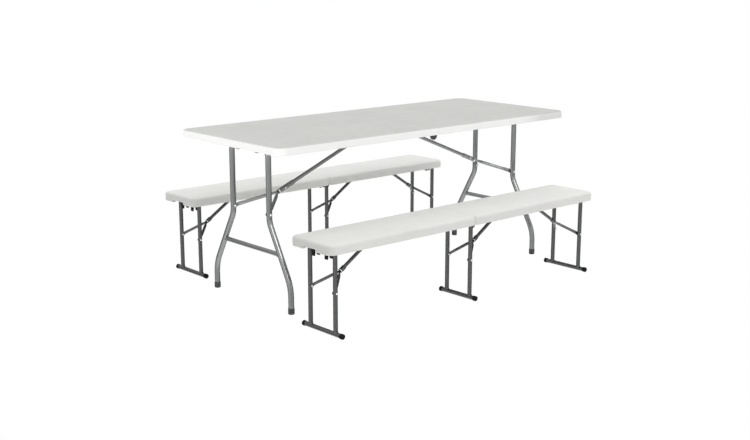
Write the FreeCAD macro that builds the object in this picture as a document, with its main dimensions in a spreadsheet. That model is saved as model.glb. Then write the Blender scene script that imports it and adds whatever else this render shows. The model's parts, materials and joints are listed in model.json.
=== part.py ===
"""Folding picnic table with two folding benches, in millimetres.

X runs along the table, Y across it and Z up. The origin is on the ground under the middle of the table.
Each top and each seat is two moulded halves that fold together at a hinge. Every leg frame folds under
its half, and a knee brace (yoke, strut and locking collar) holds it open.
"""
import FreeCAD, Part
import os
import re

import Sketcher

# Driving sizes. Names that start with table or bench belong to that piece of furniture.
SIZES = {
    # Shared small sizes
    "seam_gap": 1.0,
    "running_fit": 0.05,
    "side_play": 0.3,
    "cut_overrun": 2.0,
    "edge_underside_round": 3.0,
    # Table top
    "table_length": 1800.0,
    "table_width": 740.0,
    "table_height": 740.0,
    "table_edge_depth": 34.0,
    "table_slab": 20.0,
    "table_rim": 25.0,
    "table_corner": 48.0,
    "table_edge_round": 9.0,
    "table_seam_rib": 16.0,
    # Table leg frames
    "table_end_inset": 120.0,
    "table_leg_tube": 25.0,
    "table_leg_bend": 45.0,
    "table_leg_spread": 268.0,
    "table_foot_spread": 558.0,
    "table_leg_drop": 32.0,
    "table_fold_angle": 90.0,
    "table_splay_angle": 29.0,
    "table_splay_radius": 90.0,
    "table_foot_radius": 180.0,
    "table_splay_start": 402.0,
    "table_crossbar_tube": 20.0,
    "table_crossbar_height": 248.0,
    "table_cap_tube": 29.0,
    "table_cap_height": 27.0,
    "table_cap_floor": 4.0,
    # Table knee braces
    "table_rivet_height": 412.0,
    "table_brace_gap": 55.0,
    "table_strut_drop": 12.0,
    "table_strut_tube": 17.0,
    "table_arm_tube": 16.0,
    "table_tongue": 5.0,
    "table_tongue_half": 6.0,
    "table_tongue_run": 34.0,
    "table_cheek": 3.0,
    "table_cheek_run": 11.0,
    "table_arm_plate": 3.0,
    "table_plate_round": 10.0,
    "table_pin": 5.0,
    "table_rivet_head": 11.0,
    "table_rivet_rise": 2.5,
    "table_collar_tube": 22.0,
    "table_collar_play": 0.5,
    "table_collar_length": 92.0,
    "table_collar_cover": 5.0,
    # Table brackets
    "table_saddle_wall": 3.0,
    "table_saddle_width": 24.0,
    "table_saddle_clear": 7.0,
    "table_prong": 4.0,
    "table_prong_drop": 2.0,
    "table_ear": 3.0,
    "table_ear_round": 9.0,
    "table_bracket_plate": 2.5,
    "table_bracket_length": 44.0,
    "table_bracket_width": 30.0,
    # Table centre hinges
    "table_hinge_drop": 6.0,
    "table_hinge_round": 19.0,
    "table_hinge_leaf": 4.0,
    "table_hinge_reach": 110.0,
    "table_hinge_strap": 13.0,
    "table_hinge_pin": 7.0,
    "table_hinge_room": 16.0,
    # Bench seats
    "bench_length": 1640.0,
    "bench_width": 262.0,
    "bench_height": 394.0,
    "bench_edge_depth": 40.0,
    "bench_slab": 18.0,
    "bench_rim": 20.0,
    "bench_corner": 34.0,
    "bench_edge_round": 12.0,
    "bench_seam_rib": 8.0,
    "bench_notch_width": 92.0,
    "bench_notch_depth": 12.0,
    # Places of the benches beside the table
    "bench_place": 560.0,
    "near_bench_shift": 80.0,
    "far_bench_shift": 16.0,
    # Bench leg frames
    "bench_left_inset": 66.0,
    "bench_right_inset": 36.0,
    "bench_middle_place": 30.0,
    "bench_leg_tube": 19.0,
    "bench_leg_bend": 30.0,
    "bench_leg_spread": 160.0,
    "bench_middle_spread": 142.0,
    "bench_leg_drop": 16.0,
    "bench_fold_angle": 86.5,
    "bench_bar_tube": 19.5,
    "bench_bar_length": 250.0,
    "bench_middle_bar_length": 220.0,
    "bench_cap_tube": 23.0,
    "bench_cap_height": 15.0,
    "bench_cap_floor": 3.0,
    # Bench knee braces
    "bench_rivet_height": 182.0,
    "bench_brace_reach": 273.0,
    "bench_strut_drop": 16.0,
    "bench_strut_tube": 15.0,
    "bench_arm_tube": 13.0,
    "bench_tongue": 4.0,
    "bench_tongue_half": 5.5,
    "bench_tongue_run": 34.0,
    "bench_cheek": 2.5,
    "bench_cheek_run": 10.0,
    "bench_arm_plate": 2.5,
    "bench_plate_round": 8.0,
    "bench_pin": 4.0,
    "bench_rivet_head": 9.0,
    "bench_rivet_rise": 2.0,
    "bench_collar_tube": 20.0,
    "bench_collar_play": 0.5,
    "bench_collar_length": 28.0,
    "bench_collar_cover": 5.0,
    # Bench brackets
    "bench_saddle_wall": 2.5,
    "bench_saddle_width": 16.0,
    "bench_saddle_clear": 1.0,
    "bench_prong": 4.0,
    "bench_prong_drop": 22.0,
    "bench_ear": 2.5,
    "bench_ear_round": 8.0,
    "bench_bracket_plate": 2.5,
    "bench_bracket_length": 36.0,
    "bench_bracket_width": 26.0,
    # Bench centre hinges
    "bench_hinge_drop": 1.0,
    "bench_hinge_round": 15.0,
    "bench_hinge_leaf": 3.0,
    "bench_hinge_reach": 70.0,
    "bench_hinge_strap": 14.0,
    "bench_hinge_pin": 5.0,
    "bench_hinge_room": 12.0,
}

# Values that follow from the driving sizes, in this order. K stands for the piece of furniture.
WORKED = {
    "table_brace_reach": "table_length / 2 - table_end_inset - table_brace_gap",
    "K_under": "K_height - K_edge_depth",
    "K_recess": "K_edge_depth - K_slab",
    "K_pivot_z": "K_height - K_slab - K_leg_drop",
    "K_rivet_drop": "K_pivot_z - K_rivet_height",
    "K_strut_z": "K_height - K_slab - K_strut_drop",
    "K_hinge_z": "K_under - K_hinge_drop",
    "K_rise": "K_strut_z - K_pivot_z",
    "K_brace": "sqrt(K_brace_reach^2 + (K_rivet_drop + K_rise)^2)",
    "K_slope": "atan((K_rivet_drop + K_rise) / K_brace_reach) / 1 deg",
    "K_slack": "K_rivet_drop * sin(K_fold_angle) + K_brace - K_brace_reach",
    "K_fall": "K_rise + K_rivet_drop * cos(K_fold_angle)",
    "K_yoke": "(K_slack^2 + K_fall^2) / (2 * K_slack)",
    "K_strut": "K_brace - K_yoke",
    "K_knee_x": "K_yoke * cos(K_slope)",
    "K_knee_z": "K_pivot_z - K_rivet_drop + K_yoke * sin(K_slope)",
    "K_cheek_in": "K_tongue / 2 + side_play",
    "K_cheek_mid": "K_cheek_in + K_cheek / 2",
    "K_collar_bore": "K_strut_tube / 2 + K_collar_play",
    "K_saddle_round": "K_leg_tube / 2 + running_fit + K_saddle_wall",
}

FURNITURE = ("table", "bench")
GROUPS = {}


def names_of(text):
    """Puts the right sheet's name before every size named in a formula."""
    def place(found):
        word = found.group(0)
        if word in SIZES:
            return "Sizes." + word
        return "Worked." + word if word in GROUPS else word
    return re.sub(r"[a-z][a-z_]*", place, text)


def fill_sheets(doc):
    """Writes the driving sizes as plain numbers and the worked values as formulas."""
    sizes = doc.addObject("Spreadsheet::Sheet", "Sizes")
    for row, (name, value) in enumerate(SIZES.items(), start=1):
        sizes.set(f"A{row}", str(value))
        sizes.setAlias(f"A{row}", name)
    worked = doc.addObject("Spreadsheet::Sheet", "Worked")
    row = 0
    for kind in FURNITURE:
        for name, formula in WORKED.items():
            alias = name.replace("K", kind)
            if alias in GROUPS:
                continue
            row += 1
            GROUPS[alias] = row
            worked.set(f"A{row}", "=" + names_of(formula.replace("K", kind)))
            worked.setAlias(f"A{row}", alias)
    doc.recompute()


def bind(thing, **formulas):
    """Ties properties of an object to formulas of named sizes."""
    for path, formula in formulas.items():
        thing.setExpression(path, names_of(formula))
    return thing


def put(thing, x="0", y="0", z="0", yaw="0", pitch="0", roll="0"):
    """Ties an object's place, and its turn about Z, then Y, then X, to formulas."""
    return bind(thing, Placement=f"placement(vector({x}; {y}; {z}); rotation({yaw}; {pitch}; {roll}))")


def rod(doc, diameter, length, **place):
    """A round bar that starts at its place and runs along its own Z."""
    shape = bind(doc.addObject("Part::Cylinder", "rod"), Radius=f"({diameter}) / 2", Height=length)
    return put(shape, **place)


def cross_rod(doc, diameter, length, x="0", y="0", z="0"):
    """A round bar along Y, centred on its place."""
    return rod(doc, diameter, length, x=x, y=f"{y} + ({length}) / 2", z=z, roll="90")


def bend(doc, radius, diameter, angle, **place):
    """A bent length of round bar about its own Z, starting on its own X."""
    shape = doc.addObject("Part::Torus", "bend")
    bind(shape, Radius1=radius, Radius2=f"({diameter}) / 2", Angle3=angle)
    return put(shape, **place)


def block(doc, length, width, height, x="0", y="0", z="0", **turn):
    """A plain block, centred on its place in Y, starting there in X and Z."""
    shape = bind(doc.addObject("Part::Box", "block"), Length=length, Width=width, Height=height)
    return put(shape, x=x, y=f"{y} - ({width}) / 2", z=z, **turn)


def join(doc, pieces):
    """One solid, or one group of separate solids, made of several."""
    shape = doc.addObject("Part::MultiFuse", "joined")
    shape.Shapes = pieces
    return shape


def take(doc, base, tool):
    """What is left of base when tool is cut out of it."""
    shape = doc.addObject("Part::Cut", "cut")
    shape.Base = base
    shape.Tool = tool
    return shape


def name_part(thing, label, parts, **place):
    """Names a finished sub-part and puts it in its place."""
    thing.Label = label
    put(thing, **place)
    parts.append(thing)
    return thing


def rectangle(body, name, x_low, x_high, y_low, y_high):
    """A sketch of one rectangle on its body's ground plane, with every side bound to a formula."""
    sketch = body.newObject("Sketcher::SketchObject", name)
    plane = [f for f in body.Origin.OriginFeatures if f.Role == "XY_Plane"][0]
    sketch.AttachmentSupport = [(plane, "")]
    sketch.MapMode = "FlatFace"
    corners = [FreeCAD.Vector(x, y, 0) for x, y in ((1, 1), (2, 1), (2, 2), (1, 2))]
    for start, end in zip(corners, corners[1:] + corners[:1]):
        sketch.addGeometry(Part.LineSegment(start, end), False)
    for side in range(4):
        sketch.addConstraint(Sketcher.Constraint("Coincident", side, 2, (side + 1) % 4, 1))
        sketch.addConstraint(Sketcher.Constraint("Vertical" if side % 2 else "Horizontal", side))
    for kind, side, end, formula in (("DistanceX", 0, 1, x_low), ("DistanceX", 0, 2, x_high),
                                     ("DistanceY", 0, 1, y_low), ("DistanceY", 2, 1, y_high)):
        index = sketch.addConstraint(Sketcher.Constraint(kind, -1, 1, side, end, 1.0))
        sketch.setExpression(f"Constraints[{index}]", names_of(formula))
    return sketch


def carve(body, name, depth, *outline):
    """A pocket cut upwards from the half's lower edge."""
    pocket = body.newObject("PartDesign::Pocket", name)
    pocket.Profile = rectangle(body, name + "_outline", *outline)
    pocket.Reversed = True
    return bind(pocket, Length=depth)


def soften(doc, body, name, radius, wanted):
    """Rounds those edges of the body so far that the test wants."""
    doc.recompute()
    tip = body.Tip
    edges = [f"Edge{i}" for i, e in enumerate(tip.Shape.Edges, start=1) if wanted(e.BoundBox)]
    fillet = body.newObject("PartDesign::Fillet", name)
    fillet.Base = (tip, edges)
    return bind(fillet, Radius=radius)


def make_half(doc, kind, label, parts, x, y, yaw, notch=None):
    """One moulded half: a slab with a rim, a rib at the seam and room at the seam for the two hinges."""
    body = doc.addObject("PartDesign::Body", label)
    start = "seam_gap / 2"
    side = f"{kind}_width / 2"
    end = f"{kind}_length / 2"
    pad = body.newObject("PartDesign::Pad", "slab")
    pad.Profile = rectangle(body, "slab_outline", start, end, f"-{side}", side)
    bind(pad, Length=f"{kind}_edge_depth")
    reach = SIZES[f"{kind}_length"] / 2
    top = SIZES[f"{kind}_edge_depth"]
    near = SIZES["seam_gap"]
    soften(doc, body, "corners", f"{kind}_corner", lambda b: b.ZLength > top / 2 and b.XMin > reach - near)
    soften(doc, body, "top_edge", f"{kind}_edge_round",
           lambda b: b.ZMin > top - near and b.XMax > near)
    soften(doc, body, "lower_edge", "edge_underside_round",
           lambda b: b.ZMax < near and b.XMax > near)
    inner = f"{kind}_width / 2 - {kind}_rim"
    rib = f"{start} + {kind}_seam_rib"
    carve(body, "recess", f"{kind}_recess", rib, f"{end} - {kind}_rim", f"-({inner})", inner)
    for name, low, high in (("near_hinge_room", f"-({inner})", f"-({inner}) + {kind}_hinge_room"),
                            ("far_hinge_room", f"{inner} - {kind}_hinge_room", inner)):
        carve(body, name, f"{kind}_recess", f"{start} - cut_overrun", f"{rib} + cut_overrun", low, high)
    if notch:
        half_notch = f"{kind}_notch_width / 2"
        carve(body, "end_notch", f"{kind}_notch_depth", f"{end} - {kind}_rim - cut_overrun",
              f"{end} + cut_overrun", f"-{half_notch}", half_notch)
    name_part(body, label, parts, x=x, y=y, z=f"{kind}_under", yaw=yaw)


def make_hinge(doc, kind, label, parts, x, y, yaw, outer):
    """The two hinge leaves of one half: round ears under the seam, with straps along the recess."""
    face = f"({kind}_width / 2 - {kind}_rim)"
    leaf = f"{kind}_hinge_leaf"
    outside = f"{face} - side_play - {leaf} / 2"
    place = outside if outer else f"{outside} - {leaf} - side_play"
    leaves = []
    for side in ("-", ""):
        at = f"{side}({place})"
        ear = cross_rod(doc, f"2 * {kind}_hinge_round", leaf, y=at)
        strap = block(doc, f"{kind}_hinge_reach", leaf, f"{kind}_hinge_strap", y=at,
                      z=f"{kind}_recess + {kind}_hinge_drop - {kind}_hinge_strap")
        plate = join(doc, [ear, strap])
        if outer:
            bore = cross_rod(doc, f"{kind}_hinge_pin + 2 * running_fit", f"{leaf} + 2 * cut_overrun", y=at)
            leaves.append(take(doc, plate, bore))
        else:
            across = f"(2 * {leaf} + side_play)"
            pin = cross_rod(doc, f"{kind}_hinge_pin", across,
                            y=f"{side}({place} - {leaf} / 2 + {across} / 2)")
            leaves.append(join(doc, [plate, pin]))
    name_part(join(doc, leaves), label, parts, x=x, y=y, z=f"{kind}_hinge_z", yaw=yaw)


def make_brackets(doc, kind, frames):
    """Pronged saddles round a frame's top tube and the eared plate of its strut, for each frame of one half.

    Each frame is its distance along the half, the way to its strut's bracket and the spread of its legs.
    """
    solids = []
    height = f"{kind}_leg_drop"
    round_over = f"2 * {kind}_saddle_round"
    width = f"{kind}_saddle_width"
    for at, way, spread in frames:
        for side in ("-", ""):
            across = f"{side}({spread} / 2 - {kind}_leg_bend - {kind}_saddle_clear - {width} / 2)"
            web = block(doc, round_over, width, height, x=f"{at} - {kind}_saddle_round", y=across,
                        z=f"-{height}")
            strap = cross_rod(doc, round_over, width, x=at, y=across, z=f"-{height}")
            bore = cross_rod(doc, f"{kind}_leg_tube + 2 * running_fit", f"{width} + 2 * cut_overrun",
                             x=at, y=across, z=f"-{height}")
            prongs = [block(doc, f"{kind}_prong", width, f"{kind}_saddle_round + {kind}_prong_drop",
                            x=f"{at} {edge}", y=across,
                            z=f"-{height} - {kind}_saddle_round - {kind}_prong_drop")
                      for edge in (f"- {kind}_saddle_round", f"+ {kind}_saddle_round - {kind}_prong")]
            solids.append(take(doc, join(doc, [web, strap] + prongs), bore))
        pivot = f"{at} {way} {kind}_brace_reach"
        plate = block(doc, f"{kind}_bracket_length", f"{kind}_bracket_width", f"{kind}_bracket_plate",
                      x=f"{pivot} - {kind}_bracket_length / 2", z=f"-{kind}_bracket_plate")
        ears = []
        for side in ("-", ""):
            across = f"{side}({kind}_cheek_in + {kind}_ear / 2)"
            ears.append(block(doc, f"2 * {kind}_ear_round", f"{kind}_ear", f"{kind}_strut_drop",
                              x=f"{pivot} - {kind}_ear_round", y=across, z=f"-{kind}_strut_drop"))
            ears.append(cross_rod(doc, f"2 * {kind}_ear_round", f"{kind}_ear", x=pivot, y=across,
                                  z=f"-{kind}_strut_drop"))
        pin = cross_rod(doc, f"{kind}_pin", f"2 * ({kind}_cheek_in + {kind}_ear) + {kind}_rivet_rise",
                        x=pivot, z=f"-{kind}_strut_drop")
        solids.append(join(doc, [plate, pin] + ears))
    return join(doc, solids)


def make_table_leg(doc, label, parts, x, yaw):
    """One bent tube from foot to foot over the top, splayed in an S on each side, with a crossbar."""
    tube = "table_leg_tube"
    half = "(table_leg_spread / 2)"
    radius, low_radius = "table_splay_radius", "table_foot_radius"
    angle = "table_splay_angle"
    side_step = (f"((table_foot_spread - table_leg_spread) / 2"
                 f" - ({radius} + {low_radius}) * (1 - cos({angle})))")
    slant = f"({side_step} / sin({angle}))"
    start = "(table_splay_start - table_pivot_z)"
    bend_y = f"({half} + {radius} * (1 - cos({angle})))"
    bend_z = f"({start} - {radius} * sin({angle}))"
    foot_z = f"({bend_z} - {slant} * cos({angle}) - {low_radius} * sin({angle}))"
    bar_z = "(table_crossbar_height - table_pivot_z)"
    bar_half = f"({bend_y} + ({bend_z} - {bar_z}) * tan({angle}))"
    pieces = [cross_rod(doc, tube, f"2 * ({half} - table_leg_bend)"),
              cross_rod(doc, "table_crossbar_tube", f"2 * {bar_half}", z=bar_z)]
    for side, turn in (("", "90"), ("-", "-90")):
        pieces.append(bend(doc, "table_leg_bend", tube, "90", y=f"{side}({half} - table_leg_bend)",
                           z="-table_leg_bend", yaw=turn, roll="90"))
        pieces.append(rod(doc, tube, f"-table_leg_bend - {start}", y=f"{side}{half}", z=start))
        pieces.append(bend(doc, radius, tube, angle, y=f"{side}({half} + {radius})", z=start,
                           yaw=f"-({turn})", roll="-90"))
        pieces.append(rod(doc, tube, slant, y=f"{side}{bend_y}", z=bend_z, yaw=turn, pitch=f"180 - {angle}"))
        pieces.append(bend(doc, low_radius, tube, angle, y=f"{side}(table_foot_spread / 2 - {low_radius})",
                           z=foot_z, yaw=turn, roll="90"))
        pieces.append(rod(doc, tube, f"table_pivot_z + {foot_z} - table_cap_floor",
                          y=f"{side}table_foot_spread / 2", z="table_cap_floor - table_pivot_z"))
        head = f"({tube} / 2 + table_rivet_rise)"
        pieces.append(cross_rod(doc, "table_rivet_head", head, y=f"{side}({half} + {head} / 2)",
                                z="-table_rivet_drop"))
    name_part(join(doc, pieces), label, parts, x=x, z="table_pivot_z", yaw=yaw)


def make_table_caps(doc, label, parts, x, yaw):
    """The two ribbed foot caps that the ends of the leg tube stand in."""
    caps = []
    for side in ("", "-"):
        at = f"{side}table_foot_spread / 2"
        outside = rod(doc, "table_cap_tube", "table_cap_height", y=at)
        bore = rod(doc, "table_leg_tube + 2 * running_fit", "table_cap_height", y=at, z="table_cap_floor")
        caps.append(take(doc, outside, bore))
    name_part(join(doc, caps), label, parts, x=x, yaw=yaw)


def make_bench_leg(doc, label, parts, x, y, yaw, spread, bar):
    """One bent tube from side to side over the top, welded to a foot bar that lies across."""
    tube = "bench_leg_tube"
    half = f"({spread} / 2)"
    bar_z = "(bench_cap_tube / 2 - bench_pivot_z)"
    pieces = [cross_rod(doc, tube, f"2 * ({half} - bench_leg_bend)"),
              cross_rod(doc, "bench_bar_tube", bar, z=bar_z)]
    for side, turn in (("", "90"), ("-", "-90")):
        pieces.append(bend(doc, "bench_leg_bend", tube, "90", y=f"{side}({half} - bench_leg_bend)",
                           z="-bench_leg_bend", yaw=turn, roll="90"))
        pieces.append(rod(doc, tube, f"-bench_leg_bend - {bar_z}", y=f"{side}{half}", z=bar_z))
        head = f"({tube} / 2 + bench_rivet_rise)"
        pieces.append(cross_rod(doc, "bench_rivet_head", head, y=f"{side}({half} + {head} / 2)",
                                z="-bench_rivet_drop"))
    name_part(join(doc, pieces), label, parts, x=x, y=y, z="bench_pivot_z", yaw=yaw)


def make_bench_caps(doc, label, parts, x, y, yaw, bar):
    """The two end caps of a foot bar, which are what the bench stands on."""
    caps = []
    for side in ("", "-"):
        middle = f"{side}({bar} / 2 + bench_cap_floor - bench_cap_height / 2)"
        bore_middle = f"{side}({bar} / 2 - bench_cap_height / 2)"
        outside = cross_rod(doc, "bench_cap_tube", "bench_cap_height", y=middle)
        bore = cross_rod(doc, "bench_bar_tube + 2 * running_fit", "bench_cap_height", y=bore_middle)
        caps.append(take(doc, outside, bore))
    name_part(join(doc, caps), label, parts, x=x, y=y, z="bench_cap_tube / 2", yaw=yaw)


def make_yoke(doc, kind, spread):
    """The forked lower link: flat cheeks at the knee, two arms and a flat riveted plate at each leg."""
    plate = f"{kind}_arm_plate"
    plate_out = f"({spread} / 2 - {kind}_leg_tube / 2 - side_play)"
    plate_mid = f"({plate_out} - {plate} / 2)"
    run = f"{kind}_cheek_run"
    step = f"({plate_mid} - {kind}_cheek_mid)"
    along = f"({kind}_yoke - {run})"
    arm_length = f"sqrt({along}^2 + {step}^2)"
    lean = f"atan({step} / {along})"
    tall = f"2 * {kind}_tongue_half"
    pieces = []
    for side, flip in (("", "1"), ("-", "-1")):
        cheek_y = f"{side}{kind}_cheek_mid"
        pieces.append(cross_rod(doc, tall, f"{kind}_cheek", y=cheek_y))
        pieces.append(block(doc, f"{run} + {kind}_cheek", f"{kind}_cheek", tall,
                            x=f"-{run} - {kind}_cheek", y=cheek_y, z=f"-{kind}_tongue_half"))
        pieces.append(rod(doc, f"{kind}_arm_tube", arm_length, x=f"-{run}", y=cheek_y,
                          yaw=f"-{flip} * {lean}", pitch="-90"))
        plate_y = f"{side}{plate_mid}"
        pieces.append(cross_rod(doc, f"2 * {kind}_plate_round", plate, x=f"-{kind}_yoke", y=plate_y))
        pieces.append(cross_rod(doc, f"{kind}_rivet_head", f"{kind}_rivet_rise", x=f"-{kind}_yoke",
                                y=f"{side}({plate_out} - {plate} - {kind}_rivet_rise / 2)"))
    long_way = f"{kind}_yoke + 2 * {kind}_plate_round"
    reach = f"2 * {kind}_yoke + 4 * {kind}_plate_round"
    room = block(doc, reach, f"2 * {plate_out}", f"4 * {kind}_plate_round",
                 x=f"-({long_way})", z=f"-2 * {kind}_plate_round")
    trimmed = doc.addObject("Part::Common", "trimmed")
    trimmed.Base = join(doc, pieces)
    trimmed.Tool = room
    slot = block(doc, reach, f"2 * {kind}_cheek_in", f"4 * {kind}_plate_round",
                 x=f"-({long_way})", z=f"-2 * {kind}_plate_round")
    pin = cross_rod(doc, f"{kind}_pin", f"2 * ({kind}_cheek_in + {kind}_cheek)")
    return join(doc, [take(doc, trimmed, slot), pin])


def make_strut(doc, kind):
    """The upper link: a tube with a flat bored tongue at the knee and another at its bracket."""
    tongue = f"{kind}_tongue"
    tall = f"2 * {kind}_tongue_half"
    run = f"{kind}_tongue_run"
    hole = f"{kind}_pin + 2 * running_fit"
    pieces = [rod(doc, f"{kind}_strut_tube", f"{kind}_strut - 2 * {run}", x=run, pitch="90"),
              block(doc, f"{kind}_strut", tongue, tall, z=f"-{kind}_tongue_half")]
    bores = []
    for end in ("0", f"{kind}_strut"):
        pieces.append(cross_rod(doc, tall, tongue, x=end))
        bores.append(cross_rod(doc, hole, f"{tongue} + 2 * cut_overrun", x=end))
    return take(doc, join(doc, pieces), join(doc, bores))


def make_collar(doc, kind):
    """The sliding sleeve that covers the knee and locks it."""
    length = f"{kind}_collar_length"
    outside = rod(doc, f"{kind}_collar_tube", length, x=f"-{kind}_collar_cover", pitch="90")
    bore = rod(doc, f"2 * {kind}_collar_bore", f"{length} + 2 * cut_overrun",
               x=f"-{kind}_collar_cover - cut_overrun", pitch="90")
    return take(doc, outside, bore)


def make_brace(doc, kind, name, parts, x, y, yaw, way, spread):
    """The yoke, strut and collar of one leg frame, all on the straight line of the open brace."""
    place = {"x": f"{x} {way} {kind}_knee_x", "y": y, "z": f"{kind}_knee_z", "yaw": yaw,
             "pitch": f"-{kind}_slope"}
    name_part(make_yoke(doc, kind, spread), f"{name}_yoke", parts, **place)
    name_part(make_strut(doc, kind), f"{name}_strut", parts, **place)
    name_part(make_collar(doc, kind), f"{name}_collar", parts, **place)


def make_table(doc, parts):
    """The table: two halves, their hinges and brackets, and a leg frame with its brace on each."""
    from_seam = "table_length / 2 - table_end_inset"
    for side, yaw, sign, way in (("left", "180", "-", "+"), ("right", "0", "", "-")):
        make_half(doc, "table", f"table_top_{side}", parts, "0", "0", yaw)
        make_hinge(doc, "table", f"table_hinge_{side}", parts, "0", "0", yaw, side == "right")
        brackets = make_brackets(doc, "table", [(f"({from_seam})", "-", "table_leg_spread")])
        name_part(brackets, f"table_brackets_{side}", parts, z="table_height - table_slab", yaw=yaw)
        x = f"{sign}({from_seam})"
        turn = "180" if side == "right" else "0"
        make_table_leg(doc, f"table_leg_{side}", parts, x, turn)
        make_table_caps(doc, f"table_foot_caps_{side}", parts, x, turn)
        make_brace(doc, "table", f"table_{side}", parts, x, "0", turn, way, "table_leg_spread")


def make_bench(doc, bench, parts, x, y):
    """A bench: two halves, their hinges and brackets, an end frame each side and one beside the seam."""
    half = "bench_length / 2"
    end, middle = "bench_leg_spread", "bench_middle_spread"
    bar, short_bar = "bench_bar_length", "bench_middle_bar_length"
    frames = (("left", f"-({half} - bench_left_inset)", "0", "+", end, bar),
              ("middle", "bench_middle_place", "0", "+", middle, short_bar),
              ("right", f"{half} - bench_right_inset", "180", "-", end, bar))
    on_half = {"left": [(f"({half} - bench_left_inset)", "-", end)],
               "right": [("bench_middle_place", "+", middle), (f"({half} - bench_right_inset)", "-", end)]}
    for side, yaw in (("left", "180"), ("right", "0")):
        make_half(doc, "bench", f"{bench}_seat_{side}", parts, x, y, yaw, notch=True)
        make_hinge(doc, "bench", f"{bench}_hinge_{side}", parts, x, y, yaw, side == "right")
        brackets = make_brackets(doc, "bench", on_half[side])
        name_part(brackets, f"{bench}_brackets_{side}", parts, x=x, y=y, z="bench_height - bench_slab", yaw=yaw)
    for side, at, turn, way, spread, length in frames:
        place = f"{x} + {at}"
        make_bench_leg(doc, f"{bench}_leg_{side}", parts, place, y, turn, spread, length)
        make_bench_caps(doc, f"{bench}_foot_caps_{side}", parts, place, y, turn, length)
        make_brace(doc, "bench", f"{bench}_{side}", parts, place, y, turn, way, spread)


def check(doc, parts):
    """Stops if any object failed or any sub-part has no sound shape."""
    for thing in doc.Objects:
        if "Invalid" in thing.State or "Error" in thing.State:
            raise RuntimeError(f"{thing.Name} ({thing.Label}) failed: {thing.State}")
    for thing in parts:
        if thing.Shape.isNull() or not thing.Shape.isValid() or not thing.Shape.Solids:
            raise RuntimeError(f"{thing.Label} has no sound shape")


def main():
    doc = FreeCAD.newDocument("picnic_table_set")
    fill_sheets(doc)
    parts = []
    make_table(doc, parts)
    make_bench(doc, "near_bench", parts, "-near_bench_shift", "-bench_place")
    make_bench(doc, "far_bench", parts, "far_bench_shift", "bench_place")
    doc.recompute()
    check(doc, parts)
    os.makedirs("parts", exist_ok=True)
    for thing in parts:
        thing.Shape.exportStep(f"parts/{thing.Label}.step")
    print(len(parts), "sub-parts,", sum(len(t.Shape.Solids) for t in parts), "solids")


main()
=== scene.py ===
"""Folding picnic table with two benches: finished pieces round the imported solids, on a plain stage."""
import json
import math
from collections import namedtuple

import bmesh
import bpy
from bpy.props import FloatProperty, FloatVectorProperty, IntProperty, PointerProperty
from mathutils import Euler, Matrix, Vector

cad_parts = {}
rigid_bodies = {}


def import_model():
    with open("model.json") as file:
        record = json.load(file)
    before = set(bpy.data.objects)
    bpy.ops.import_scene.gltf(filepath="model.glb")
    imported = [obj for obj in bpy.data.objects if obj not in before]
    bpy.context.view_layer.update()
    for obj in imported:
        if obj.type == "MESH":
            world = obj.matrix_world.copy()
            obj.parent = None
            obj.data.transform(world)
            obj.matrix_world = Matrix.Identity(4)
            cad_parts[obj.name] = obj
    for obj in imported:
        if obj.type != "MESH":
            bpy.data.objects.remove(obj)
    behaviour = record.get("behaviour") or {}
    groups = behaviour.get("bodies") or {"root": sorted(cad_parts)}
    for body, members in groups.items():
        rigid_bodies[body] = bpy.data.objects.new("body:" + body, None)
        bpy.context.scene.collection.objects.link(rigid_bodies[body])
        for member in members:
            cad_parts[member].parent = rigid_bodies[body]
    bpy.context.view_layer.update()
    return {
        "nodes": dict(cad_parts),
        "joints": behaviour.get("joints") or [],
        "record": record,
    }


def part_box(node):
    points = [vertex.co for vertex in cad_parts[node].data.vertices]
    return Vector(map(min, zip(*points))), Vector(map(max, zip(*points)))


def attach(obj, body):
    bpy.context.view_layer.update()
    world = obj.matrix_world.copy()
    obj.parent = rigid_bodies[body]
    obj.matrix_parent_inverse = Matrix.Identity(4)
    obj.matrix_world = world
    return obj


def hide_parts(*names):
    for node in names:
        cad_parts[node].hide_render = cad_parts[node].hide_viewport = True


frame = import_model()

bl_info = {
    "name": "Folding Picnic Table Set",
    "version": (1, 0, 0),
    "blender": (4, 5, 0),
    "location": "View3D > Sidebar > Picnic Set",
    "description": "Finishes a folding picnic table and two benches and lights them on a plain stage",
    "category": "Object",
}

JOINTS = {joint["name"]: joint for joint in frame["joints"]}
BODY_OF = {node: body for body, nodes in frame["record"]["behaviour"]["bodies"].items() for node in nodes}
SLOT_OF = {part["node"]: part["material_slot"] for part in frame["record"]["subparts"]}
SIDES = ("left", "right")
BENCHES = ("near_bench", "far_bench")
TABLE_FRAMES = ("table_left", "table_right")
BENCH_FRAMES = tuple(f"{bench}_{side}" for bench in BENCHES for side in ("left", "middle", "right"))
ZINC = "zinc_plated_steel"
ALONG = Vector((1, 0, 0))
ACROSS = Vector((0, 1, 0))
UP = Vector((0, 0, 1))
MM = 0.001
TABLE, BENCH = 0, 1
FINISHED = {}


def length(name, description, millimetres):
    """A length property with a default in millimetres."""
    return FloatProperty(name=name, description=description, default=millimetres * MM, min=0.0,
                         unit="LENGTH", subtype="DISTANCE", precision=4)


def pair(name, description, table, bench):
    """A length property for the table and for a bench, with defaults in millimetres."""
    return FloatVectorProperty(name=name, description=f"{description}, on the table and on a bench", size=2,
                               default=(table * MM, bench * MM), min=0.0, unit="LENGTH", precision=4)


def angle(name, description, radians):
    """An angle property."""
    return FloatProperty(name=name, description=description, default=radians, subtype="ANGLE")


def number(name, description, value):
    """A plain number property."""
    return FloatProperty(name=name, description=description, default=value)


def colour(name, description, value):
    """A colour property."""
    return FloatVectorProperty(name=name, description=description, default=value, min=0.0, max=1.0,
                               size=3, subtype="COLOR")


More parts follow.
